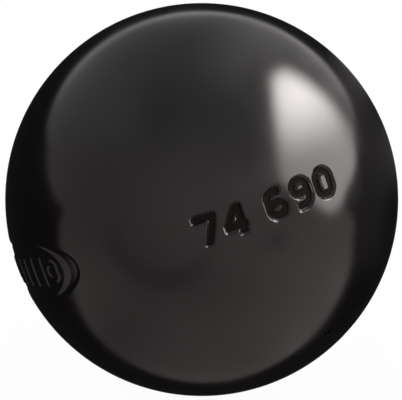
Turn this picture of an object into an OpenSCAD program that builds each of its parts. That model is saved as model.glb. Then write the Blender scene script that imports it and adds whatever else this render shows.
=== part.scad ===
// Petanque boule: two hollow steel half-shells, centred on each other by a lip and
// joined by one run of weld metal that is ground flush with the ball.
// The origin is the ball's centre and +Z is up. The shells share the Y axis: the stamped
// shell is at -Y, the plain one at +Y, and the weld lies in the XZ plane between them.

/* [Ball] */
// Outside diameter of the ball
ball_d = 74; // [70.5:0.5:80]
// Thickness of the steel wall
wall = 6.1; // [5.5:0.1:8]

/* [Weld joint] */
// Angle between the two sides of the weld groove, in degrees
groove_angle = 60; // [40:5:80]
// Width of the flat bottom of the weld groove
groove_floor_w = 1; // [0.6:0.1:2]
// Radial depth of the square edges on which the two shells butt
land_depth = 1.4; // [1:0.1:1.8]
// Radial thickness of the centring lip on the stamped shell
lip_t = 1.5; // [1:0.1:1.8]
// Length by which the centring lip enters the plain shell
lip_l = 2; // [1:0.1:3]
// Clearance round the centring lip and at its end
lip_gap = 0.1; // [0.02:0.01:0.2]

/* [Place of the marks] */
// Slope of the row of marks across the front of the ball, in degrees
mark_tilt = 21; // [0:1:45]
// Angle from the front pole to the middle of the figures, in degrees
figures_at = 43.6; // [40:0.1:50]
// Angle from the front pole to the middle of the badge, in degrees
badge_at = 43.6; // [40:0.1:46]

/* [Stamped figures] */
// Diameter in millimetres, a space, and mass in grams
figures = "74 690"; // [74 690, 71 690, 72 700, 73 680, 75 710, 76 720, 75 700]
// Height of a figure
figure_h = 5.9; // [5:0.1:6.6]
// Width of a figure
figure_w = 4.4; // [4:0.1:4.8]
// Width of the stroke of a figure
stroke_w = 1.4; // [1:0.1:1.6]
// Space between two figures
figure_gap = 0.8; // [0.5:0.1:1.5]
// Extra space between the two numbers
word_gap = 2.9; // [2:0.1:4]
// Depth of the figures below the ball's surface
figure_depth = 0.6; // [0.3:0.05:1]

/* [Badge] */
// Length of the sunk oval badge along the ball
badge_l = 36.8; // [30:0.2:38]
// Height of the sunk oval badge along the ball
badge_h = 12.9; // [11:0.1:14]
// Width of the steep outer wall at the badge's two ends
wall_l = 0.9; // [0.6:0.1:1.5]
// Width of the steep outer wall at the badge's top and bottom
wall_h = 0.25; // [0.2:0.05:0.6]
// Width of the border groove's flat bottom at the badge's two ends
border_l = 2; // [0.5:0.1:2.5]
// Width of the border groove's flat bottom at the badge's top and bottom
border_h = 0.1; // [0.1:0.05:0.4]
// Width of the slope from the border groove up to the field at the badge's two ends
rise_l = 1.4; // [0.5:0.1:2]
// Width of the slope from the border groove up to the field at the badge's top and bottom
rise_h = 0.35; // [0.3:0.05:0.8]
// Depth of the border groove below the ball's surface
border_depth = 0.5; // [0.45:0.05:0.8]
// Depth of the badge's field below the ball's surface
field_depth = 0.25; // [0.2:0.05:0.4]
// Number of upright bars between the two rings
bar_count = 5; // [1:2:5]
// Height of an upright bar
bar_h = 5.6; // [4:0.1:6]
// Width of an upright bar
bar_w = 1.3; // [0.8:0.1:1.6]
// Distance from one bar or ring to the next
bar_pitch = 3.5; // [3.3:0.1:3.7]
// Outside diameter of a ring
ring_d = 4.3; // [3.5:0.1:4.5]
// Width of a ring's stroke
ring_w = 1.1; // [0.7:0.1:1.4]
// Height of the bars and rings above the badge's field
raised_by = 0.2; // [0.1:0.05:0.3]

/* [Hidden] */
$fn = 180;

// Length by which every cutting shape passes the surface that it cuts
overrun = 1;

ball_r = ball_d / 2;
bore_r = ball_r - wall;
lip_r = bore_r + lip_t;
seat_r = lip_r + lip_gap;
land_r = seat_r + land_depth;

// Bowls of the figures: two of them, one on the other, share one stroke and fill a figure
bowl_bias_share = 0.04;
low_bowl_h = (figure_h + stroke_w) / 2 * (1 + bowl_bias_share);
high_bowl_h = (figure_h + stroke_w) / 2 * (1 - bowl_bias_share);
top_y = figure_h / 2;
side_x = figure_w / 2;

// Flag of the 1, slope and arm of the 4, tail of the 6 and foot of the 7
flag_share = 1.5;
slope_share = 0.85;
arm_tip_share = 0.35;
arm_drop_share = 0.08;
tail_share = 0.6;
foot_share = 0.55;

// Badge: half lengths and half heights of its ovals, from the outer edge inwards
edge_half = [badge_l, badge_h] / 2;
wall_foot_half = edge_half - [wall_l, wall_h];
rise_foot_half = wall_foot_half - [border_l, border_h];
field_half = rise_foot_half - [rise_l, rise_h];
border_r = ball_r - border_depth;
field_r = ball_r - field_depth;
badge_sides = 72;
plug_reach_share = 0.3;
ring_pitch_count = (bar_count + 1) / 2;

// Angle at the ball's centre under an arc on its surface
function arc_deg(length) = length / ball_r * 180 / PI;

// Half the width of the weld groove at a distance from the shells' axis
function groove_half(radius) = groove_floor_w / 2 + (radius - land_r) * tan(groove_angle / 2);

// Point above or below the middle of a mark, at an arc x along and an arc y up the surface
function mark_point(radius, x, y) = radius * [
    cos(arc_deg(y)) * sin(arc_deg(x)),
    sin(arc_deg(y)),
    cos(arc_deg(y)) * cos(arc_deg(x))
];

// Sections of the joint: x is the distance from the shells' axis, y from the weld's middle

module groove_section() {
    outside_r = ball_r + overrun;
    polygon([
        [land_r, -groove_floor_w / 2],
        [outside_r, -groove_half(outside_r)],
        [outside_r, groove_half(outside_r)],
        [land_r, groove_floor_w / 2]
    ]);
}

// Quarter ring of the wall, cut back for the weld
module shell_section() {
    difference() {
        intersection() {
            circle(r = ball_r);
            square(ball_r + overrun);
        }
        circle(r = bore_r);
        groove_section();
    }
}

module lip_section() {
    translate([bore_r, -lip_l]) square([lip_t, 2 * lip_l]);
}

module lip_seat_section() {
    translate([0, -overrun]) square([seat_r, overrun + lip_l + lip_gap]);
}

// Turns a section into a solid round the Y axis, with its y pointing along -Y and the
// start of the turn at the bottom, clear of the marks
module turned_to_front() {
    rotate([90, 0, 0]) rotate([0, 0, -90]) rotate_extrude() children();
}

module turned_to_rear() {
    rotate([0, 0, 180]) turned_to_front() children();
}

// Marks: they stand in one row, a great circle through the front pole

// Moves a mark drawn round the Z axis to its angle along the row
module on_row(angle) {
    rotate([0, -mark_tilt, 0]) rotate([0, 0, angle]) rotate([90, 0, 0]) children();
}

// Stands a flat outline on end, from below a mark's floor to above the ball
module die(depth) {
    translate([0, 0, ball_r - depth - overrun])
        linear_extrude(height = depth + 2 * overrun) children();
}

// Plain outlines for figures: upright and lying slots, and what they leave as rings

module upright_slot(w, h) {
    square([w, h - w], center = true);
    for (side = [-1, 1]) translate([0, side * (h - w) / 2]) circle(d = w);
}

module lying_slot(w, h) {
    square([w - h, h], center = true);
    for (side = [-1, 1]) translate([side * (w - h) / 2, 0]) circle(d = h);
}

module lying_ring(w, h) {
    difference() {
        lying_slot(w, h);
        lying_slot(w - 2 * stroke_w, h - 2 * stroke_w);
    }
}

module low_bowl() {
    translate([0, (low_bowl_h - figure_h) / 2]) lying_ring(figure_w, low_bowl_h);
}

module high_bowl() {
    translate([0, (figure_h - high_bowl_h) / 2]) lying_ring(figure_w, high_bowl_h);
}

// Level stroke from x1 to x2 whose upper edge is at y
module level_stroke(x1, x2, y) {
    translate([x1, y - stroke_w]) square([x2 - x1, stroke_w]);
}

module right_half() {
    intersection() {
        children();
        translate([0, -top_y]) square([side_x, figure_h]);
    }
}

module figure_0() {
    difference() {
        upright_slot(figure_w, figure_h);
        upright_slot(figure_w - 2 * stroke_w, figure_h - 2 * stroke_w);
    }
}

module figure_1() {
    flag_x = -stroke_w * flag_share;
    square([stroke_w, figure_h], center = true);
    polygon([
        [0, top_y],
        [-stroke_w / 2, top_y],
        [flag_x, top_y - stroke_w],
        [flag_x, top_y - 2 * stroke_w],
        [0, top_y - stroke_w / 2]
    ]);
}

module figure_2() {
    bend_y = top_y - high_bowl_h / 2;
    intersection() {
        high_bowl();
        translate([0, bend_y]) square([side_x, top_y - bend_y]);
    }
    level_stroke(-side_x, 0, top_y);
    level_stroke(-side_x, side_x, stroke_w - top_y);
    polygon([
        [side_x, bend_y],
        [side_x - stroke_w, bend_y],
        [-side_x, stroke_w - top_y],
        [-side_x, stroke_w / 2 - top_y],
        [stroke_w - side_x, stroke_w / 2 - top_y]
    ]);
}

module figure_3() {
    right_half() {
        high_bowl();
        low_bowl();
    }
    level_stroke(-side_x, 0, top_y);
    level_stroke(-side_x / 2, 0, low_bowl_h - top_y);
    level_stroke(-side_x, 0, stroke_w - top_y);
}

// The counter of the 4 leaves a slope that is a little thinner than the other strokes
module figure_4() {
    slope_w = stroke_w * slope_share;
    bar_right_x = side_x - stroke_w * arm_tip_share;
    bar_left_x = bar_right_x - stroke_w;
    arm_y = -figure_h * arm_drop_share;
    run = bar_left_x + side_x;
    rise = top_y - arm_y;
    slope_l = norm([run, rise]);
    difference() {
        union() {
            polygon([
                [-side_x, arm_y - stroke_w],
                [-side_x, arm_y],
                [bar_left_x, top_y],
                [bar_right_x, top_y],
                [bar_right_x, arm_y - stroke_w]
            ]);
            translate([bar_left_x, -top_y]) square([stroke_w, top_y]);
            level_stroke(0, side_x, arm_y);
        }
        polygon([
            [bar_left_x, top_y - slope_w * slope_l / run],
            [bar_left_x, arm_y],
            [slope_w * slope_l / rise - side_x, arm_y]
        ]);
    }
}

module figure_5() {
    right_half() low_bowl();
    level_stroke(-side_x, side_x, top_y);
    level_stroke(-side_x, 0, low_bowl_h - top_y);
    level_stroke(-side_x, 0, stroke_w - top_y);
    translate([-side_x, low_bowl_h - top_y - stroke_w])
        square([stroke_w, figure_h - low_bowl_h + stroke_w]);
}

module figure_6() {
    low_bowl();
    level_stroke(0, side_x * tail_share, top_y);
    intersection() {
        figure_0();
        translate([-side_x, -top_y]) square([side_x, figure_h]);
    }
}

module figure_7() {
    foot_x = -side_x * foot_share;
    level_stroke(-side_x, side_x, top_y);
    polygon([
        [side_x, top_y],
        [side_x - stroke_w, top_y],
        [side_x - stroke_w, top_y - stroke_w],
        [foot_x, -top_y],
        [foot_x + stroke_w, -top_y],
        [side_x, top_y - stroke_w]
    ]);
}

module figure_8() {
    high_bowl();
    low_bowl();
}

module figure(character) {
    if (character == "0") figure_0();
    if (character == "1") figure_1();
    if (character == "2") figure_2();
    if (character == "3") figure_3();
    if (character == "4") figure_4();
    if (character == "5") figure_5();
    if (character == "6") figure_6();
    if (character == "7") figure_7();
    if (character == "8") figure_8();
    if (character == "9") rotate(180) figure_6();
}

// Arc from the start of the figures to the middle of figure number n
function advance(n) = figures[n] == " " ? word_gap : figure_w + figure_gap;
function figures_l(n) = n < 0 ? 0 : figures_l(n - 1) + advance(n);
function figure_x(n) = figures_l(n) - (figures_l(len(figures) - 1) + advance(n)) / 2;

module stamped_figures() {
    difference() {
        for (n = [0:len(figures) - 1])
            if (figures[n] != " ")
                on_row(figures_at + arc_deg(figure_x(n))) die(figure_depth) figure(figures[n]);
        sphere(r = ball_r - figure_depth);
    }
}

// Badge: an oval field in a border groove, with plain raised bars and rings on the field

// Points of an oval round a mark's middle
function oval(radius, half) = [for (i = [0:badge_sides - 1]) let (a = 360 * i / badge_sides)
    mark_point(radius, half[0] * cos(a), half[1] * sin(a))];

// Solid whose sloping side runs through a high and a low oval, a share of the way past
// each, and which ends in a peak above the ball and in a point at the ball's centre
module oval_plug(high, low) {
    step = plug_reach_share * (high - low);
    peak = [0, 0, (ball_r + overrun) / cos(arc_deg(badge_l / 2 + overrun))];
    faces = [for (i = [0:badge_sides - 1]) let (j = (i + 1) % badge_sides) each [
        [2 * badge_sides, j, i],
        [i, j, badge_sides + j],
        [i, badge_sides + j, badge_sides + i],
        [badge_sides + i, badge_sides + j, 2 * badge_sides + 1]
    ]];
    polyhedron(points = concat(high + step, low - step, [peak, [0, 0, 0]]), faces = faces);
}

module raised_bars() {
    for (n = [0:bar_count - 1])
        on_row(arc_deg((n - (bar_count - 1) / 2) * bar_pitch) - badge_at)
            die(field_depth) square([bar_w, bar_h], center = true);
}

module raised_rings() {
    for (side = [-1, 1])
        on_row(arc_deg(side * ring_pitch_count * bar_pitch) - badge_at)
            die(field_depth)
                difference() {
                    circle(d = ring_d);
                    circle(d = ring_d - 2 * ring_w);
                }
}

module badge_recess() {
    difference() {
        on_row(-badge_at) oval_plug(oval(ball_r, edge_half), oval(border_r, wall_foot_half));
        sphere(r = border_r);
        intersection() {
            sphere(r = field_r);
            on_row(-badge_at) oval_plug(oval(field_r, field_half), oval(border_r, rise_foot_half));
        }
        intersection() {
            sphere(r = field_r + raised_by);
            union() {
                raised_bars();
                raised_rings();
            }
        }
    }
}

module front_half_shell() {
    color("#1d1c1c")
        difference() {
            turned_to_front() {
                shell_section();
                lip_section();
            }
            stamped_figures();
            badge_recess();
        }
}

module rear_half_shell() {
    color("#1d1c1c")
        turned_to_rear()
            difference() {
                shell_section();
                lip_seat_section();
            }
}

module weld_seam() {
    color("#232121")
        turned_to_front()
            intersection() {
                groove_section();
                circle(r = ball_r);
            }
}

front_half_shell();
rear_half_shell();
weld_seam();
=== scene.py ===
# %% [markdown]
# # A blackened steel ball, stamped and badged
#
# This lesson dresses a petanque boule that was built elsewhere as exact solids. The solids
# are only loosely meshed, and on a nearly mirror-smooth black ball every flat facet would
# show as a kink in the reflections. So each piece gets a fine mesh of its own here, made
# with bmesh operators. The figures are pressed into it by measuring the solid, and the
# badge by a formula that is checked against the solid. Lengths on the ball are typed in
# millimetres and become metres through MM. Lengths in the studio are typed in metres.

import math

import bmesh
import bpy
import numpy as np
from mathutils import Matrix, Vector
from mathutils.bvhtree import BVHTree


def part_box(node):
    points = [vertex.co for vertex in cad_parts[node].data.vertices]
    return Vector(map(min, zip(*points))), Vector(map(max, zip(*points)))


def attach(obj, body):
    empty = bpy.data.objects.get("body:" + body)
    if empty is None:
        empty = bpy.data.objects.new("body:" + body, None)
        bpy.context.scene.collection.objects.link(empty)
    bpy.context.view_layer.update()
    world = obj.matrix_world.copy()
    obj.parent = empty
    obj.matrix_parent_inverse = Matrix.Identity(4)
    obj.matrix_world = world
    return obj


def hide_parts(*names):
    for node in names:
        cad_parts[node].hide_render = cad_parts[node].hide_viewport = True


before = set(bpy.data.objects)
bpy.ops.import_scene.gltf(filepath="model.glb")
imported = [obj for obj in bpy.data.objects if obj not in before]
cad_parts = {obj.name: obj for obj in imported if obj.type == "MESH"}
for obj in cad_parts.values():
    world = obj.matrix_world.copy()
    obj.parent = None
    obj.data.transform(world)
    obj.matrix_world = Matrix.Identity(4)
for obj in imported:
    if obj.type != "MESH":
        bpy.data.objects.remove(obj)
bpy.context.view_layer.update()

MM = 0.001
BALL_R = 37 * MM
print("CAD nodes:", sorted(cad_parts))
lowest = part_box("front_half_shell")[0]
print("lowest corner of the stamped shell's box, mm:", [round(c / MM, 3) for c in lowest])

# %% [markdown]
# The marks stand in one row on a great circle that runs through the front pole, at -Y, and
# climbs 21 degrees from left to right. Three directions describe it: straight out of the
# front pole, along the row at the seam, and the row's own "up". Every place on the ball is
# then two arcs, one along the row and one across it, just as a ruler bent round the ball
# would give them.

# %% The row of marks
ROW_TILT = math.radians(21)
FRONT = Vector((0, -1, 0))
ALONG = Vector((math.cos(ROW_TILT), 0, math.sin(ROW_TILT)))
ACROSS = Vector((-math.sin(ROW_TILT), 0, math.cos(ROW_TILT)))


def arcs(point):
    """Arcs in metres from the front pole to a point: along the row, and across it."""
    out = point.normalized()
    along = math.atan2(out.dot(ALONG), out.dot(FRONT))
    across = math.asin(max(-1, min(1, out.dot(ACROSS))))
    return along * BALL_R, across * BALL_R


def in_window(point, window):
    """Whether a point lies in a patch: its middle along and across, half length, half height."""
    along, across = arcs(point)
    return abs(along - window[0]) < window[2] and abs(across - window[1]) < window[3]


MARK_ANGLE = math.radians(43.6)
MARK_ARC = MARK_ANGLE * BALL_R
FIGURES = (MARK_ARC, 0, 15.6 * MM, 4.1 * MM)  # middle along and across, half length, half height
BADGE = (-MARK_ARC, 0, 19.6 * MM, 7.4 * MM)
NICK_AT = Vector((29.86, -11.72, -18.44)).normalized()
NICK = (*arcs(NICK_AT), 1.3 * MM, 1.3 * MM)
print("arc from the pole to each mark, mm:", round(MARK_ARC / MM, 2))

# %% [markdown]
# ## The studio
#
# A glossy black ball shows its surroundings and hardly anything of itself, so the studio is
# half of the picture. First comes the camera. A long lens from 45 cm keeps the ball's
# outline round. The tiny shift puts the ball where the photograph has it. The Standard view
# shows colours as they are written, where Blender's own default would soften them.

# %% Camera
PHOTO_W, PHOTO_H = 402, 400
BALL_AT = (201.7, 199.54)
AZIMUTH, ELEVATION = math.radians(22.24), math.radians(17.12)
DISTANCE = 0.45
LENS, SENSOR_W, CLIP_START = 213.35, 36, 0.01

towards_camera = Vector((
    math.sin(AZIMUTH) * math.cos(ELEVATION),
    -math.cos(AZIMUTH) * math.cos(ELEVATION),
    math.sin(ELEVATION),
))
camera = bpy.data.objects.new("camera", bpy.data.cameras.new("camera"))
bpy.context.scene.collection.objects.link(camera)
camera.location = towards_camera * DISTANCE
camera.rotation_euler = (-towards_camera).to_track_quat("-Z", "Y").to_euler()
camera.data.sensor_width = SENSOR_W
camera.data.lens = LENS
camera.data.clip_start = CLIP_START
camera.data.shift_x = (PHOTO_W / 2 - BALL_AT[0]) / PHOTO_W
camera.data.shift_y = (BALL_AT[1] - PHOTO_H / 2) / PHOTO_W
bpy.context.scene.camera = camera
bpy.context.scene.view_settings.view_transform = "Standard"

view_right = Vector((math.cos(AZIMUTH), math.sin(AZIMUTH), 0))
view_up = towards_camera.cross(view_right)
print("camera at, mm:", [round(c / MM, 1) for c in camera.location])

# %% [markdown]
# Materials are node trees. Building them by hand in the editor is pleasant, and in code it
# is long-winded, so a short helper adds a node, sets it up and plugs it in. A value that is
# a node's output becomes a link, and anything else is typed into the socket.

# %% Node helper


def add_node(tree, kind, inputs=(), **settings):
    """Adds a node, sets its settings and fills or links the inputs, given as (name, value)."""
    node = tree.nodes.new(kind)
    for name, value in settings.items():
        setattr(node, name, value)
    for name, value in inputs:
        if isinstance(value, bpy.types.NodeSocket):
            tree.links.new(value, node.inputs[name])
        else:
            node.inputs[name].default_value = value
    return node


def new_material(name):
    """A material with an empty node tree, and its output node."""
    material = bpy.data.materials.new(name)
    material.use_nodes = True
    tree = material.node_tree
    tree.nodes.clear()
    return material, tree, tree.nodes.new("ShaderNodeOutputMaterial")


def calc(tree, operation, a, b=0.0, **settings):
    """One step of arithmetic on two values."""
    return add_node(tree, "ShaderNodeMath", [(0, a), (1, b)], operation=operation, **settings).outputs[0]


def vector_calc(tree, operation, a, b, output="Vector"):
    """One step of arithmetic on two vectors."""
    return add_node(tree, "ShaderNodeVectorMath", [(0, a), (1, b)], operation=operation).outputs[output]


def smooth_step(tree, value, low, high, start=0.0, end=1.0):
    """Value mapped smoothly from low..high to start..end."""
    inputs = [("Value", value), ("From Min", low), ("From Max", high), ("To Min", start), ("To Max", end)]
    node = add_node(tree, "ShaderNodeMapRange", inputs, interpolation_type="SMOOTHSTEP")
    return node.outputs["Result"]


# %% [markdown]
# The room is white for the camera, for reflections and for anything seen through glass, at
# strength 1. The rest of the light is the same white turned down a little, so that a colour
# renders about as it is written. The floor is pale, and to the camera it is nearly all plain
# white, which keeps the ball's shadow faint, as under a light tent.

# %% World and floor
WHITE, PALE_PAPER = (1, 1, 1, 1), (0.93, 0.93, 0.93, 1)
ROOM_LIGHT = 0.9
FLOOR_WHITE_SHARE = 0.97
FLOOR_HALF_W = 6


def seen_directly(tree):
    """1 for rays of the camera, of reflections and through glass, and 0 for all others."""
    rays = add_node(tree, "ShaderNodeLightPath").outputs
    seen = calc(tree, "ADD", rays["Is Camera Ray"], rays["Is Glossy Ray"])
    return calc(tree, "ADD", seen, rays["Is Transmission Ray"], use_clamp=True)


world = bpy.data.worlds.new("studio")
bpy.context.scene.world = world
world.use_nodes = True
tree = world.node_tree
tree.nodes.clear()
dim = add_node(tree, "ShaderNodeBackground", [("Color", WHITE), ("Strength", ROOM_LIGHT)]).outputs[0]
white = add_node(tree, "ShaderNodeBackground", [("Color", WHITE), ("Strength", 1.0)]).outputs[0]
room = add_node(tree, "ShaderNodeMixShader", [(0, seen_directly(tree)), (1, dim), (2, white)]).outputs[0]
add_node(tree, "ShaderNodeOutputWorld", [("Surface", room)])

bm = bmesh.new()
bmesh.ops.create_grid(bm, x_segments=1, y_segments=1, size=FLOOR_HALF_W)
bmesh.ops.translate(bm, verts=bm.verts, vec=(0, 0, -BALL_R))
floor = bpy.data.objects.new("floor", bpy.data.meshes.new("floor"))
bm.to_mesh(floor.data)
bm.free()
bpy.context.scene.collection.objects.link(floor)

material, tree, output = new_material("floor_white")
share = calc(tree, "MULTIPLY", seen_directly(tree), FLOOR_WHITE_SHARE)
paper = add_node(tree, "ShaderNodeBsdfDiffuse", [("Color", PALE_PAPER)]).outputs[0]
glow = add_node(tree, "ShaderNodeEmission", [("Color", WHITE), ("Strength", 1.0)]).outputs[0]
mixed = add_node(tree, "ShaderNodeMixShader", [(0, share), (1, paper), (2, glow)]).outputs[0]
tree.links.new(mixed, output.inputs["Surface"])
floor.data.materials.append(material)
floor.visible_glossy = False
print("floor at z, mm:", round(-BALL_R / MM, 2))

# %% [markdown]
# Reflections are drawn with a light tent: a big ball of cloth round the set, with a slot at
# the back that is left dark and gives the ball its black edge, and a softbox behind the
# cloth on the right. Only reflections see it. The white room shows through the cloth, so
# the cloth only has to hold light back, and its lamps only have to add some.
#
# Where on the ball does a light show? A mirror ball reflects a light at the place whose
# surface faces half-way between the light and the camera. That half-way direction, measured
# along the camera's right and up, gives plain picture coordinates in radii of the ball, and
# the tent is lit in those. The camera's direction is a fixed number here, so the tent stays
# still when another camera looks at the ball. The lights, shades and folds were set round by
# round, until the reflections came close to those in the photograph.

# %% Tent
TENT_R, TENT_SEGMENTS = 2.0, 96
COOL_CLOTH, WARM_CLOTH = (1.02, 1.0, 0.995, 1), (1.09, 0.968, 0.962, 1)
LAMP_COLOUR = (1.03, 0.985, 0.955, 1)

tent_lights = (  # right, up, half width, half height, strength
    (-0.46, 0.44, 0.36, 0.34, 0.17),
    (-0.03, -0.03, 0.48, 0.48, 0.26),
    (0.47, -0.32, 0.56, 0.56, 0.40),
    (0.24, 0.67, 0.37, 0.28, 0.55),
    (0.00, -0.70, 0.60, 0.34, 0.22),
    (-0.50, -0.40, 0.34, 0.30, 0.10),
    (0.22, 0.07, 0.20, 0.17, 0.26),
    (0.34, 0.16, 0.12, 0.16, 0.60),
    (0.56, 0.68, 0.14, 0.14, 0.35),
    (0.65, 0.55, 0.13, 0.15, 0.42),
    (-0.12, 0.95, 0.28, 0.10, 0.25),
)
tent_shades = (  # right, up, half width, half height, share held back
    (-0.21, 0.41, 0.17, 0.28, 0.22),
    (0.36, -0.20, 0.13, 0.08, 0.48),
    (-0.50, -0.75, 0.55, 0.36, 0.45),
    (0.68, -0.62, 0.26, 0.26, 0.30),
    (-0.44, 0.80, 0.32, 0.22, 0.12),
    (-0.10, 0.90, 0.60, 0.26, 0.28),
    (0.27, 0.60, 0.09, 0.15, 0.50),
)
slot_leaks = (  # right, up, half width, half height, strength
    (0.80, -0.08, 0.16, 0.36, 0.11),
    (0.72, 0.42, 0.17, 0.48, 0.19),
    (0.86, 0.20, 0.18, 0.30, 0.12),
)
slot_folds = (  # right, up, half width, half height, how far the cloth hangs into the slot
    (-0.70, -0.47, 0.36, 0.38, -0.13),
    (-0.50, -0.78, 0.25, 0.25, -0.03),
    (0.80, 0.03, 0.24, 0.20, -0.085),
    (0.80, 0.28, 0.24, 0.22, -0.09),
    (0.76, -0.08, 0.14, 0.13, 0.085),
    (-0.80, 0.26, 0.16, 0.14, -0.035),
    (-0.74, 0.00, 0.16, 0.20, 0.04),
    (0.08, -0.93, 0.50, 0.25, 0.05),
    (0.68, -0.58, 0.34, 0.34, -0.03),
)
SMILE = (-0.17, -0.115, 0.275, 0.09, 0.36)  # right, up, radius, half width, share held back


def component(tree, vector, direction):
    """How far a vector reaches in a fixed direction."""
    return vector_calc(tree, "DOT_PRODUCT", vector, direction, "Value")


def soft_patch(tree, picture, x, y, half_width, half_height):
    """1 in the middle of an oval patch of the picture, fading to 0 at its edge."""
    moved = vector_calc(tree, "SUBTRACT", picture, (x, y, 0))
    scaled = vector_calc(tree, "MULTIPLY", moved, (1 / half_width, 1 / half_height, 1))
    return smooth_step(tree, vector_calc(tree, "LENGTH", scaled, (0, 0, 0), "Value"), 0, 1, 1, 0)


bm = bmesh.new()
bmesh.ops.create_uvsphere(bm, u_segments=TENT_SEGMENTS, v_segments=TENT_SEGMENTS // 2, radius=TENT_R)
tent = bpy.data.objects.new("light_tent", bpy.data.meshes.new("light_tent"))
bm.to_mesh(tent.data)
bm.free()
bpy.context.scene.collection.objects.link(tent)
tent.visible_camera = tent.visible_diffuse = tent.visible_transmission = False
tent.visible_shadow = tent.visible_volume_scatter = False

material, tree, output = new_material("tent_cloth")
place = add_node(tree, "ShaderNodeTexCoord").outputs["Object"]
out = vector_calc(tree, "NORMALIZE", place, (0, 0, 0))
half_way = vector_calc(tree, "NORMALIZE", vector_calc(tree, "ADD", out, towards_camera), (0, 0, 0))
right, up = component(tree, half_way, view_right), component(tree, half_way, view_up)
picture = add_node(tree, "ShaderNodeCombineXYZ", [("X", right), ("Y", up)]).outputs[0]

# %% [markdown]
# The slot lies between two planes that nearly meet at its two ends, one above and one below
# the axis of the camera. It stands for a dark room seen past the tent, and a little light
# leaks in on the right. Each plane is given by its angle to the axis, its lean towards the
# right and how far it passes the middle of the ball, and both were fitted to the edge of the
# black rim in the photograph. Cloth never hangs quite straight, so a few soft folds move the
# edge in or out. Along the upper plane the cloth has a bright hem, strongest near the top.

# %% The slot
SLOT_BLUR, HEM_GLOW = 0.035, 0.72
slot_planes = (  # above or below, angle to the axis in degrees, lean, how far past the middle
    (1, 38.9, 0.019, -0.004),
    (-1, 45.7, 0.039, -0.092),
)
hang = 0.0
for *place, amount in slot_folds:
    hang = calc(tree, "ADD", hang, calc(tree, "MULTIPLY", soft_patch(tree, picture, *place), amount))
edges = []
for side, degrees, lean, past in slot_planes:
    angle = math.radians(degrees)
    facing = view_up * side * math.cos(angle) + towards_camera * math.sin(angle) + view_right * lean
    beyond = calc(tree, "ADD", component(tree, out, facing), calc(tree, "ADD", hang, past))
    edges.append((beyond, smooth_step(tree, beyond, -SLOT_BLUR, SLOT_BLUR)))
cloth = calc(tree, "MAXIMUM", edges[0][1], edges[1][1])
hem = smooth_step(tree, edges[0][0], 0.02, 0.16, HEM_GLOW, 0.0)
hem = calc(tree, "MULTIPLY", hem, smooth_step(tree, up, 0.4, 0.75))

# %% [markdown]
# The cloth lets through about two thirds of the light, more on the right than on the left
# and less towards the floor. The shades stand for places where it is doubled or where things
# are in its way, among them a round one whose lower edge makes a faint smile. The slot isn't
# quite black, because some light always strays into it.

# %% The cloth
SLOT_STRAY_LIGHT = 0.012
clear = smooth_step(tree, right, -0.75, 0.9, 0.56, 0.78)
clear = calc(tree, "MULTIPLY", clear, smooth_step(tree, up, -0.92, -0.55, 0.42, 1.0))
shades = [(soft_patch(tree, picture, *place), share) for *place, share in tent_shades]
x, y, radius, half_width, share = SMILE
from_middle = vector_calc(tree, "SUBTRACT", picture, (x, y, 0))
reach = vector_calc(tree, "LENGTH", from_middle, (0, 0, 0), "Value")
off = calc(tree, "ABSOLUTE", calc(tree, "SUBTRACT", reach, radius))
smile = smooth_step(tree, off, 0, half_width, 1, 0)
smile = calc(tree, "MULTIPLY", smile, smooth_step(tree, up, -0.32, -0.04, 1, 0))
smile = calc(tree, "MULTIPLY", smile, smooth_step(tree, right, -0.1, 0.1, 1, 0.25))
shades.append((smile, share))
for shade, share in shades:
    passed = calc(tree, "SUBTRACT", 1.0, calc(tree, "MULTIPLY", shade, share))
    clear = calc(tree, "MULTIPLY", clear, passed)
clear = calc(tree, "MAXIMUM", calc(tree, "MULTIPLY", clear, cloth), SLOT_STRAY_LIGHT)

# %% [markdown]
# The softbox is a bright box with soft, straight edges. Two of them are planes in the room.
# The left one and three cut corners are simply lines of the picture. The lamp inside sits
# high, so the box has a hot spot above, and it fades below and to the right.

# %% The softbox
SOFTBOX_LEVEL, SOFTBOX_HOT = 6.0, 17.0
HOT_SPOT = (0.42, 0.495, 0.37, 0.35)  # right, up, half width, half height
softbox_left = ((1, 0.065, 0), 0.352, 0.426)  # direction, and where along it the edge starts and ends
softbox_planes = (
    (view_right * 0.37 + view_up * 0.017 + towards_camera * 0.814, -0.05, 0.255),
    (view_right * 0.40 + view_up * 0.944 - towards_camera * 0.323, 0.16, 0.28),
)
softbox_corners = (
    ((0.913, -0.407, 0), 0.63, 0.69),
    ((0.6, -0.8, 0), 0.40, 0.465),
    ((-0.7, 0.72, 0), 0.155, 0.225),
)
facing, low, high = softbox_left
softbox = smooth_step(tree, component(tree, picture, facing), low, high)
for facing, low, high in softbox_planes:
    inside = smooth_step(tree, component(tree, out, facing), low, high)
    softbox = calc(tree, "MULTIPLY", softbox, inside)
for facing, low, high in softbox_corners:
    inside = smooth_step(tree, component(tree, picture, facing), low, high, 1, 0)
    softbox = calc(tree, "MULTIPLY", softbox, inside)
softbox = calc(tree, "MULTIPLY", softbox, smooth_step(tree, right, 0.60, 0.90, 1.0, 0.5))
hot = calc(tree, "MULTIPLY", soft_patch(tree, picture, *HOT_SPOT), SOFTBOX_HOT)
lit = calc(tree, "MULTIPLY", softbox, calc(tree, "ADD", hot, SOFTBOX_LEVEL))
for *place, strength in tent_lights:
    lit = calc(tree, "ADD", lit, calc(tree, "MULTIPLY", soft_patch(tree, picture, *place), strength))
lit = calc(tree, "MULTIPLY", calc(tree, "ADD", lit, hem), cloth)
for *place, strength in slot_leaks:
    lit = calc(tree, "ADD", lit, calc(tree, "MULTIPLY", soft_patch(tree, picture, *place), strength))

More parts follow.
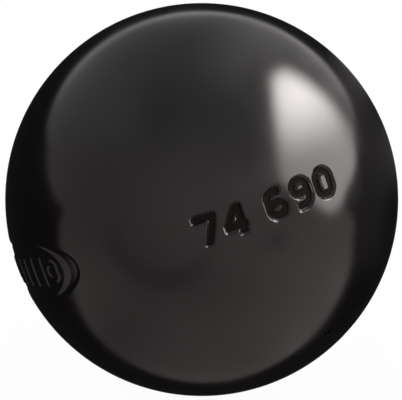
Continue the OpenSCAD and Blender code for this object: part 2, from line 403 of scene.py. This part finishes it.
warmth = smooth_step(tree, up, 0.6, -0.1)
tint = add_node(tree, "ShaderNodeMix", [
    ("Factor", warmth), ("A", COOL_CLOTH), ("B", WARM_CLOTH),
], data_type="RGBA").outputs["Result"]
tinted = add_node(tree, "ShaderNodeVectorMath", [(0, tint), ("Scale", clear)], operation="SCALE").outputs[0]
through = add_node(tree, "ShaderNodeBsdfTransparent", [("Color", tinted)]).outputs[0]
glow = add_node(tree, "ShaderNodeEmission", [("Color", LAMP_COLOUR), ("Strength", lit)]).outputs[0]
both = add_node(tree, "ShaderNodeAddShader", [(0, through), (1, glow)]).outputs[0]
tree.links.new(both, output.inputs["Surface"])
tent.data.materials.append(material)
print("tent radius, m:", TENT_R, "with", len(tent_lights), "lights and", len(tent_shades), "shades")

# %% [markdown]
# The tent only shows in the gloss. What lights the matt floors of the stamps, and throws the
# ball's soft shadow on the floor, is the white room and one large gentle lamp on the same
# side as the softbox.

# %% Lamp
KEY_POWER, KEY_SIZE = 1.2, 0.6
lamp = bpy.data.objects.new("key_lamp", bpy.data.lights.new("key_lamp", "AREA"))
lamp.data.energy = KEY_POWER
lamp.data.size = KEY_SIZE
lamp.location = view_right * 0.7 + towards_camera * 0.35 + Vector((0, 0, 0.6))
lamp.rotation_euler = lamp.location.to_track_quat("Z", "Y").to_euler()
lamp.visible_glossy = False
bpy.context.scene.collection.objects.link(lamp)
print("lamp at, m:", [round(c, 2) for c in lamp.location])

# %% [markdown]
# ## The stamped shell
#
# The outer skin starts as a UV sphere, laid over until its equator is the row of marks. The
# quads round the figures and the badge then run along and across the row, as the strokes do.
# The half behind the weld is cut away, and the patches round the figures, the badge and the
# nick are subdivided until one cell is about a tenth of a millimetre. New points fall on the
# flat of the old quads, so they are pushed out to the sphere again.

# %% Skin of the stamped shell
SKIN_SEGMENTS = 288
ON_PLANE = 0.02 * MM  # points nearer than this to a cutting plane are taken to lie on it
GROOVE_RIM_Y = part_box("weld_seam")[1].y
RIM_R = math.sqrt(BALL_R**2 - GROOVE_RIM_Y**2)


def round_up(verts):
    """Moves points straight out to the ball's surface."""
    for v in verts:
        v.co = v.co.normalized() * BALL_R


def refine(bm, window, cuts):
    """Cuts every edge in a window into cuts + 1 pieces."""
    inside = {v for v in bm.verts if in_window(v.co, window)}
    edges = [e for e in bm.edges if e.verts[0] in inside and e.verts[1] in inside]
    bmesh.ops.subdivide_edges(bm, edges=edges, cuts=cuts, use_grid_fill=True)


skin = bmesh.new()
bmesh.ops.create_uvsphere(skin, u_segments=SKIN_SEGMENTS, v_segments=SKIN_SEGMENTS // 2, radius=BALL_R)
bmesh.ops.rotate(skin, verts=skin.verts, cent=(0, 0, 0), matrix=Matrix.Rotation(-ROW_TILT, 3, "Y"))
bmesh.ops.bisect_plane(
    skin, geom=skin.verts[:] + skin.edges[:] + skin.faces[:], dist=ON_PLANE,
    plane_co=(0, -GROOVE_RIM_Y, 0), plane_no=(0, 1, 0), clear_outer=True,
)
for window, cuts in ((FIGURES, 7), (BADGE, 6), (NICK, 6)):
    refine(skin, window, cuts)
rim = [e for e in skin.edges if e.is_boundary]
rim_verts = {v for e in rim for v in e.verts}
round_up(v for v in skin.verts if v not in rim_verts)
for v in rim_verts:
    out = Vector((v.co.x, 0, v.co.z)).normalized() * RIM_R
    v.co = (out.x, -GROOVE_RIM_Y, out.z)
print("skin:", len(skin.verts), "points,", len(skin.faces), "faces,", len(rim), "edges on the rim")

# %% [markdown]
# A real ball gets its marks from a steel punch. For the figures the punch here is the solid
# itself: a ray goes from outside the ball straight to its centre and meets the solid at the
# depth of the mark. One ray would give a hard step, and steel doesn't break like that, it
# draws in over the edge of the punch. So near a step, each point takes the mean depth of a
# small disc round it. That rounds every lip and every corner of the floor by the radius of
# the disc, and it smooths the outline too.

# %% Press the figures
solid = BVHTree.FromObject(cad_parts["front_half_shell"], bpy.context.evaluated_depsgraph_get())
FIGURE_DEPTH = 0.6
FIGURE_LIP, BADGE_LIP, NICK_LIP = 0.3 * MM, 0.13 * MM, 0.08 * MM
STEP = 0.005  # neighbours that differ by more than this, in mm, stand on a step


def solid_depth(out):
    """How many millimetres the solid lies below the ball's surface, straight inwards."""
    return (BALL_R - solid.ray_cast(out * (BALL_R + MM), -out)[0].length) / MM


def figure_depth(out):
    """All or nothing of a figure's depth, which leaves out the facets of the solid."""
    return FIGURE_DEPTH if solid_depth(out) > FIGURE_DEPTH / 2 else 0.0


def disc(radius):
    """Offsets of a small disc: its middle, six points round it and twelve on its edge."""
    points = [(0.0, 0.0)]
    for share, count in ((0.5, 6), (1.0, 12)):
        for i in range(count):
            turn = 2 * math.pi * (i + share) / count
            points.append((radius * share * math.cos(turn), radius * share * math.sin(turn)))
    return points


def press(bm, window, lip, depth_at):
    """Sinks the skin to the mean depth round each point, and returns the depths in mm."""
    first = {
        v: depth_at(v.co.normalized())
        for v in bm.verts if v not in rim_verts and in_window(v.co, window)
    }
    steps = {
        v for v in first for e in v.link_edges
        if abs(first.get(e.other_vert(v), 0.0) - first[v]) > STEP
    }
    for _ in range(2):
        steps |= {e.other_vert(v) for v in steps for e in v.link_edges}
    for v in steps & first.keys():
        out = v.co.normalized()
        side = ACROSS.cross(out).normalized()
        up = out.cross(side)
        depths = [depth_at((out * BALL_R + side * a + up * b).normalized()) for a, b in disc(lip)]
        first[v] = sum(depths) / len(depths)
    for v, depth in first.items():
        v.co = v.co.normalized() * (BALL_R - depth * MM)
    return first


pressed = skin.verts.layers.float.new("pressed")
depths = press(skin, FIGURES, FIGURE_LIP, figure_depth)
for v, depth in depths.items():
    v[pressed] = depth / FIGURE_DEPTH
print("figures pressed to, mm:", round(max(depths.values()), 3))

# %% [markdown]
# A ball that has been thrown has a nick somewhere. This one has a single small pit on the
# lower right, a little over a millimetre across and about a third of a millimetre deep.

# %% Nick
NICK_R, NICK_DEPTH, NICK_SQUEEZE = 0.62, 0.35, 1.15


def nick_depth(out):
    """Depth of the pit, which is a bowl, a little narrower than long."""
    along, across = arcs(out)
    reach = math.hypot((along - NICK[0]) * NICK_SQUEEZE, across - NICK[1]) / MM / NICK_R
    return NICK_DEPTH * max(0.0, 1 - reach**2)


depths = press(skin, NICK, NICK_LIP, nick_depth)
print("nick pressed to, mm:", round(max(depths.values()), 3))

# %% [markdown]
# The badge is too shallow for that. Its field lies only 0.25 mm down, and there the flat
# facets of the solid would show in the gloss. But its shape is simple: a steep wall, a
# groove and a rise to the field, all between ovals, with bars and rings left standing. So
# its depth is written as a formula, and the solid is only asked to check it. Two things
# differ from the solid on purpose: the floor of the groove slopes by a tenth of a
# millimetre, and the foot of the outer wall lies up to a tenth of a millimetre further out.
# Both only make the border look as dark as it does in the photograph. Neither is known of
# the real ball.

# %% Press the badge
badge_ovals = (  # half length, half height and depth, from the outer edge inwards, mm
    (18.4, 6.45, 0.0),
    (17.6, 6.22, 0.41),
    (15.5, 6.1, 0.5),
    (14.1, 5.75, 0.25),
)
RAISED_TOP = 0.05
BAR_PITCH, BAR_HALF_W, BAR_HALF_H = 3.5, 0.65, 2.8
RING_FROM, RING_TO = 1.05, 2.15


def outside(x, y, oval):
    """Whether a place in the badge lies outside an oval round its middle."""
    return (x / oval[0]) ** 2 + (y / oval[1]) ** 2 > 1


def badge_depth(out):
    """Depth of the badge in millimetres at a direction from the ball's centre."""
    x, y = (arc / MM for arc in arcs(out))
    x += MARK_ARC / MM
    if outside(x, y, badge_ovals[0]):
        return 0.0
    for outer, inner in zip(badge_ovals, badge_ovals[1:]):
        if outside(x, y, inner):
            near, far = 0.0, 1.0
            for _ in range(12):
                share = (near + far) / 2
                between = [a + (b - a) * share for a, b in zip(outer, inner)]
                near, far = (near, share) if outside(x, y, between) else (share, far)
            return outer[2] + (inner[2] - outer[2]) * near
    number = round(x / BAR_PITCH)
    aside = abs(x - number * BAR_PITCH)
    on_bar = abs(number) < 3 and aside < BAR_HALF_W and abs(y) < BAR_HALF_H
    on_ring = abs(number) == 3 and RING_FROM < math.hypot(aside, y) < RING_TO
    return RAISED_TOP if on_bar or on_ring else badge_ovals[-1][2]


depths = press(skin, BADGE, BADGE_LIP, badge_depth)
print("badge pressed to, mm:", round(max(depths.values()), 3))
off = sorted(abs(badge_depth(v.co.normalized()) - solid_depth(v.co.normalized())) for v in depths)
middle, nearly_all = off[len(off) // 2], off[len(off) * 99 // 100]
print("formula and solid differ, mm: middle", round(middle, 3), "and 99 in 100 under", round(nearly_all, 3))

# %% [markdown]
# The skin is one sheet so far. Its open rim is pulled in, step by step, to make the groove
# for the weld, the land on which the shells butt, and the lip that centres them. Each step
# extrudes the last ring of edges and moves the new ring, which is what a hand at the screen
# would do too. A second, coarser sphere makes the bore, turned inside out and bridged to
# the lip.

# %% Joint edge and bore
LAND_R, SEAT_R, LIP_R, BORE_R = 33.9 * MM, 32.5 * MM, 32.4 * MM, 30.9 * MM
GROOVE_FLOOR_HALF, LIP_L, SEAT_L = 0.5 * MM, 2 * MM, 2.1 * MM
BORE_SEGMENTS = 96


def pull_ring(bm, ring, radius, y):
    """Extrudes a ring of edges round the Y axis to another radius and height."""
    new = bmesh.ops.extrude_edge_only(bm, edges=ring)["geom"]
    verts = [g for g in new if isinstance(g, bmesh.types.BMVert)]
    now = math.hypot(verts[0].co.x, verts[0].co.z)
    bmesh.ops.scale(bm, verts=verts, vec=(radius / now, 1, radius / now))
    bmesh.ops.translate(bm, verts=verts, vec=(0, y - verts[0].co.y, 0))
    moved = set(verts)
    return [g for g in new if isinstance(g, bmesh.types.BMEdge) and moved.issuperset(g.verts)]


ring = rim
for radius, y in (
    (LAND_R, -GROOVE_FLOOR_HALF), (LAND_R, 0), (LIP_R, 0), (LIP_R, LIP_L), (BORE_R, LIP_L),
):
    ring = pull_ring(skin, ring, radius, y)

before = set(skin.verts)
bmesh.ops.create_uvsphere(skin, u_segments=BORE_SEGMENTS, v_segments=BORE_SEGMENTS // 2, radius=BORE_R)
bore = [v for v in skin.verts if v not in before]
bmesh.ops.rotate(skin, verts=bore, cent=(0, 0, 0), matrix=Matrix.Rotation(math.pi / 2, 3, "X"))
bore_edges = list({e for v in bore for e in v.link_edges})
bore_faces = list({f for v in bore for f in v.link_faces})
bmesh.ops.bisect_plane(
    skin, geom=bore + bore_edges + bore_faces, dist=ON_PLANE,
    plane_co=(0, 0, 0), plane_no=(0, 1, 0), clear_outer=True,
)
lip_end = set(ring)
bore_rim = [e for e in skin.edges if e.is_boundary and e not in lip_end]
bmesh.ops.bridge_loops(skin, edges=ring + bore_rim)
bmesh.ops.recalc_face_normals(skin, faces=skin.faces)
print("open edges left:", sum(not e.is_manifold for e in skin.edges))

# %% [markdown]
# A smooth-shaded mesh guesses the direction of its surface from its faces. That is good
# enough for wood or paint, but where large cells meet small ones it bends a reflection. The
# ball is a true sphere wherever nothing is pressed in, so there the guess is replaced by the
# exact direction, straight out from the centre. Everywhere else the guess stays.

# %% Finish a piece
CREASE = math.radians(35)
ROUND_WITHIN = 0.001 * MM  # how near to the ball's radius a point of the round outside lies
SQUARE_ON = 0.995  # how squarely a face there looks outwards, as a cosine


def finish_piece(bm, name):
    """Turns a bmesh into an object whose round outside is shaded as an exact sphere."""
    for e in bm.edges:
        e.smooth = len(e.link_faces) != 2 or e.calc_face_angle() < CREASE
    for f in bm.faces:
        f.smooth = True
    mesh = bpy.data.meshes.new(name)
    bm.to_mesh(mesh)
    bm.free()
    obj = bpy.data.objects.new(name, mesh)
    bpy.context.scene.collection.objects.link(obj)
    points = np.array([v.co for v in mesh.vertices])
    reach = np.linalg.norm(points, axis=1)
    corner_points = np.array([l.vertex_index for l in mesh.loops])
    normals = np.array([n.vector for n in mesh.corner_normals])
    straight_out = (points / reach[:, None])[corner_points]
    corners_each = [p.loop_total for p in mesh.polygons]
    faces = np.repeat([tuple(p.normal) for p in mesh.polygons], corners_each, axis=0)
    on_ball = reach[corner_points] > BALL_R - ROUND_WITHIN
    round_corner = on_ball & ((faces * straight_out).sum(axis=1) > SQUARE_ON)
    normals[round_corner] = straight_out[round_corner]
    mesh.normals_split_custom_set(normals.tolist())
    print(name, "has", sum(len(p.vertices) - 2 for p in mesh.polygons), "triangles")
    return obj


stamped_shell = finish_piece(skin, "stamped_shell")

# %% [markdown]
# ## The plain shell and the weld
#
# The plain shell and the weld are the same all the way round, so each is a section spun
# about the Y axis. The arcs of the section are spun too: one point turned in small steps
# leaves a row of edges. The weld is the wedge between the shells, ground flush outside.

# %% Plain shell and weld
SPIN_STEPS = 256
OUTSIDE_STEPS, BORE_STEPS, WELD_STEPS = 88, 24, 4
SAME_POINT = 0.0001 * MM


def arc_to(bm, start, angle, steps):
    """Turns a point about the X axis in steps, leaving edges, and returns the last point."""
    made = bmesh.ops.spin(
        bm, geom=[start], cent=(0, 0, 0), axis=(1, 0, 0), angle=angle, steps=steps,
        use_merge=False, use_duplicate=False,
    )["geom_last"]
    return next(g for g in made if isinstance(g, bmesh.types.BMVert))


def line_to(bm, start, radius, y):
    """Joins a point to a new one at a distance from the Y axis."""
    end = bm.verts.new((0, y, radius))
    bm.edges.new((start, end))
    return end


def spin_section(bm):
    """Spins a section all the way round the Y axis and points its faces outwards."""
    bmesh.ops.remove_doubles(bm, verts=bm.verts, dist=SAME_POINT)
    bmesh.ops.spin(
        bm, geom=bm.verts[:] + bm.edges[:], cent=(0, 0, 0), axis=(0, 1, 0),
        angle=2 * math.pi, steps=SPIN_STEPS, use_merge=True, use_duplicate=False,
    )
    bmesh.ops.remove_doubles(bm, verts=bm.verts, dist=SAME_POINT)
    bmesh.ops.recalc_face_normals(bm, faces=bm.faces)
    print("open edges:", sum(not e.is_manifold for e in bm.edges))


section = bmesh.new()
pole = section.verts.new((0, BALL_R, 0))
rim_angle = math.acos(GROOVE_RIM_Y / BALL_R)
point = arc_to(section, pole, rim_angle, OUTSIDE_STEPS)
for radius, y in ((LAND_R, GROOVE_FLOOR_HALF), (LAND_R, 0), (SEAT_R, 0), (SEAT_R, SEAT_L)):
    point = line_to(section, point, radius, y)
bore_edge_r = math.sqrt(BORE_R**2 - SEAT_L**2)
point = line_to(section, point, bore_edge_r, SEAT_L)
arc_to(section, point, -math.acos(SEAT_L / BORE_R), BORE_STEPS)
spin_section(section)
plain_shell = finish_piece(section, "plain_shell")

section = bmesh.new()
start = section.verts.new((0, GROOVE_RIM_Y, RIM_R))
point = arc_to(section, start, math.pi - 2 * rim_angle, WELD_STEPS)
for radius, y in ((LAND_R, -GROOVE_FLOOR_HALF), (LAND_R, GROOVE_FLOOR_HALF)):
    point = line_to(section, point, radius, y)
section.edges.new((point, start))
spin_section(section)
weld_ring = finish_piece(section, "weld_ring")

# %% [markdown]
# ## The finish
#
# Boules of hard steel are blackened and oiled, which leaves a thin, dark, glassy skin. In
# shader terms it is not a mirror of metal: head-on it sends back only about three percent
# of the light, and the base under it is close to black. A ball is ground by rolling it, so
# it is never perfectly even. Long soft waves bend the reflections a little, clouds of oil
# change the gloss, and there is a pore every few millimetres.

# %% Black skin
SKIN_BLACK, STAMP_BLACK = (0.0034, 0.0028, 0.0029, 1), (0.0052, 0.0039, 0.0036, 1)
SKIN_IOR = 1.4
WAVES_PER_M, CLOUDS_PER_M, PORES_PER_M = 130, 110, 260
WAVE_DEPTH, PORE_DEPTH = 0.012 * MM, 0.008 * MM


def noise(tree, place, scale, detail):
    """A cloudy value between 0 and 1, with that many clouds to the metre."""
    inputs = [("Vector", place), ("Scale", scale), ("Detail", detail)]
    return add_node(tree, "ShaderNodeTexNoise", inputs).outputs["Fac"]


def bump(tree, height, depth, base=None):
    """Bends the surface by a height between 0 and 1 that stands for a depth in metres."""
    inputs = [("Height", height), ("Strength", 1.0), ("Distance", depth)]
    if base:
        inputs.append(("Normal", base))
    return add_node(tree, "ShaderNodeBump", inputs).outputs["Normal"]


def black_skin(name, gloss, shift):
    """Ground and blackened steel that turns matt towards the floor of a stamp."""
    material, tree, output = new_material(name)
    place = add_node(tree, "ShaderNodeTexCoord").outputs["Object"]
    place = vector_calc(tree, "ADD", place, (shift, 0, 0))
    sunk = add_node(tree, "ShaderNodeAttribute", attribute_name="pressed", attribute_type="GEOMETRY")
    matt = smooth_step(tree, sunk.outputs["Fac"], 0.4, 0.8)
    cell = add_node(tree, "ShaderNodeTexVoronoi", [("Vector", place), ("Scale", PORES_PER_M)]).outputs
    chance = add_node(tree, "ShaderNodeSeparateColor", [("Color", cell["Color"])]).outputs["Red"]
    pore = smooth_step(tree, cell["Distance"], 0.02, 0.06, 1, 0)
    pore = calc(tree, "MULTIPLY", pore, smooth_step(tree, chance, 0.55, 0.9))
    cloud = smooth_step(tree, noise(tree, place, CLOUDS_PER_M, 3), 0.3, 0.7, gloss - 0.02, gloss + 0.025)
    rough = calc(tree, "ADD", cloud, calc(tree, "MULTIPLY", matt, 0.4))
    colour = add_node(tree, "ShaderNodeMix", [
        ("Factor", matt), ("A", SKIN_BLACK), ("B", STAMP_BLACK),
    ], data_type="RGBA").outputs["Result"]
    waves = bump(tree, noise(tree, place, WAVES_PER_M, 1), WAVE_DEPTH)
    dents = bump(tree, pore, -PORE_DEPTH, waves)
    steel = add_node(tree, "ShaderNodeBsdfPrincipled", [
        ("Base Color", colour), ("Roughness", rough), ("Normal", dents), ("IOR", SKIN_IOR),
    ])
    tree.links.new(steel.outputs[0], output.inputs["Surface"])
    return material


# %% [markdown]
# The floor of a figure was crushed by the punch and never ground. It is rough, full of scale
# and old oil, and has next to no gloss, so it gets a material of its own with a low index of
# refraction. It starts on the lower part of the walls, where the skin has turned matt. The
# nick's pit gets painted shade, a near black darker than the skin, with almost no gloss.

# %% Floor of the stamps
FLOOR_FROM = 0.62  # share of a figure's depth
NICK_SHADE_REACH = 1.1  # radii of the nick
# painted shade: the near black of the nick's pit, darker than the skin
NICK_SHADE_BLACK = (0.0003, 0.0002, 0.0002, 1)
STAMP_IOR, NICK_SHADE_IOR = 1.12, 1.01
GRAINS_PER_M, GRAIN_DEPTH, GRAIN_LIFT = 2600, 0.03 * MM, 1.6
STAMP_INDEX, NICK_SHADE_INDEX = 1, 2


def crushed_steel_and_nick_shade(name, dark, light, ior):
    """Scaly black steel for the bottom of a stamp, and painted shade for the nick's pit."""
    material, tree, output = new_material(name)
    place = add_node(tree, "ShaderNodeTexCoord").outputs["Object"]
    grain = noise(tree, place, GRAINS_PER_M, 3)
    lifted = (*(GRAIN_LIFT * c for c in light[:3]), 1)
    colour = add_node(tree, "ShaderNodeMix", [
        ("Factor", grain), ("A", dark), ("B", lifted),
    ], data_type="RGBA").outputs["Result"]
    rough = smooth_step(tree, grain, 0.3, 0.7, 0.5, 0.75)
    dents = bump(tree, grain, GRAIN_DEPTH)
    steel = add_node(tree, "ShaderNodeBsdfPrincipled", [
        ("Base Color", colour), ("Roughness", rough), ("Normal", dents), ("IOR", ior),
    ])
    tree.links.new(steel.outputs[0], output.inputs["Surface"])
    return material


shell_black = black_skin("shell_black", 0.16, 0.0)
weld_black = black_skin("weld_black", 0.165, 0.3)
for piece, material, slot, node in (
    (stamped_shell, shell_black, "black_steel", "front_half_shell"),
    (plain_shell, shell_black, "black_steel", "rear_half_shell"),
    (weld_ring, weld_black, "black_weld", "weld_seam"),
):
    piece.data.materials.append(material)
    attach(piece, "root")
    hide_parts(node)

stamped_shell.data.materials.append(crushed_steel_and_nick_shade("stamp_floor", SKIN_BLACK, STAMP_BLACK, STAMP_IOR))
# The nick's pit gets painted shade, near black and almost without gloss.
stamped_shell.data.materials.append(crushed_steel_and_nick_shade("nick_painted_shade", NICK_SHADE_BLACK, SKIN_BLACK, NICK_SHADE_IOR))
depth_share = [d.value for d in stamped_shell.data.attributes["pressed"].data]
# Faces deep in a figure take the crushed steel, and faces in the nick's pit take the painted shade.
for face in stamped_shell.data.polygons:
    if min(depth_share[v] for v in face.vertices) > FLOOR_FROM:
        face.material_index = STAMP_INDEX
    elif (face.center - NICK_AT * BALL_R).length < NICK_SHADE_REACH * NICK_R * MM:
        face.material_index = NICK_SHADE_INDEX
print("faces of crushed steel:", sum(f.material_index == STAMP_INDEX for f in stamped_shell.data.polygons))
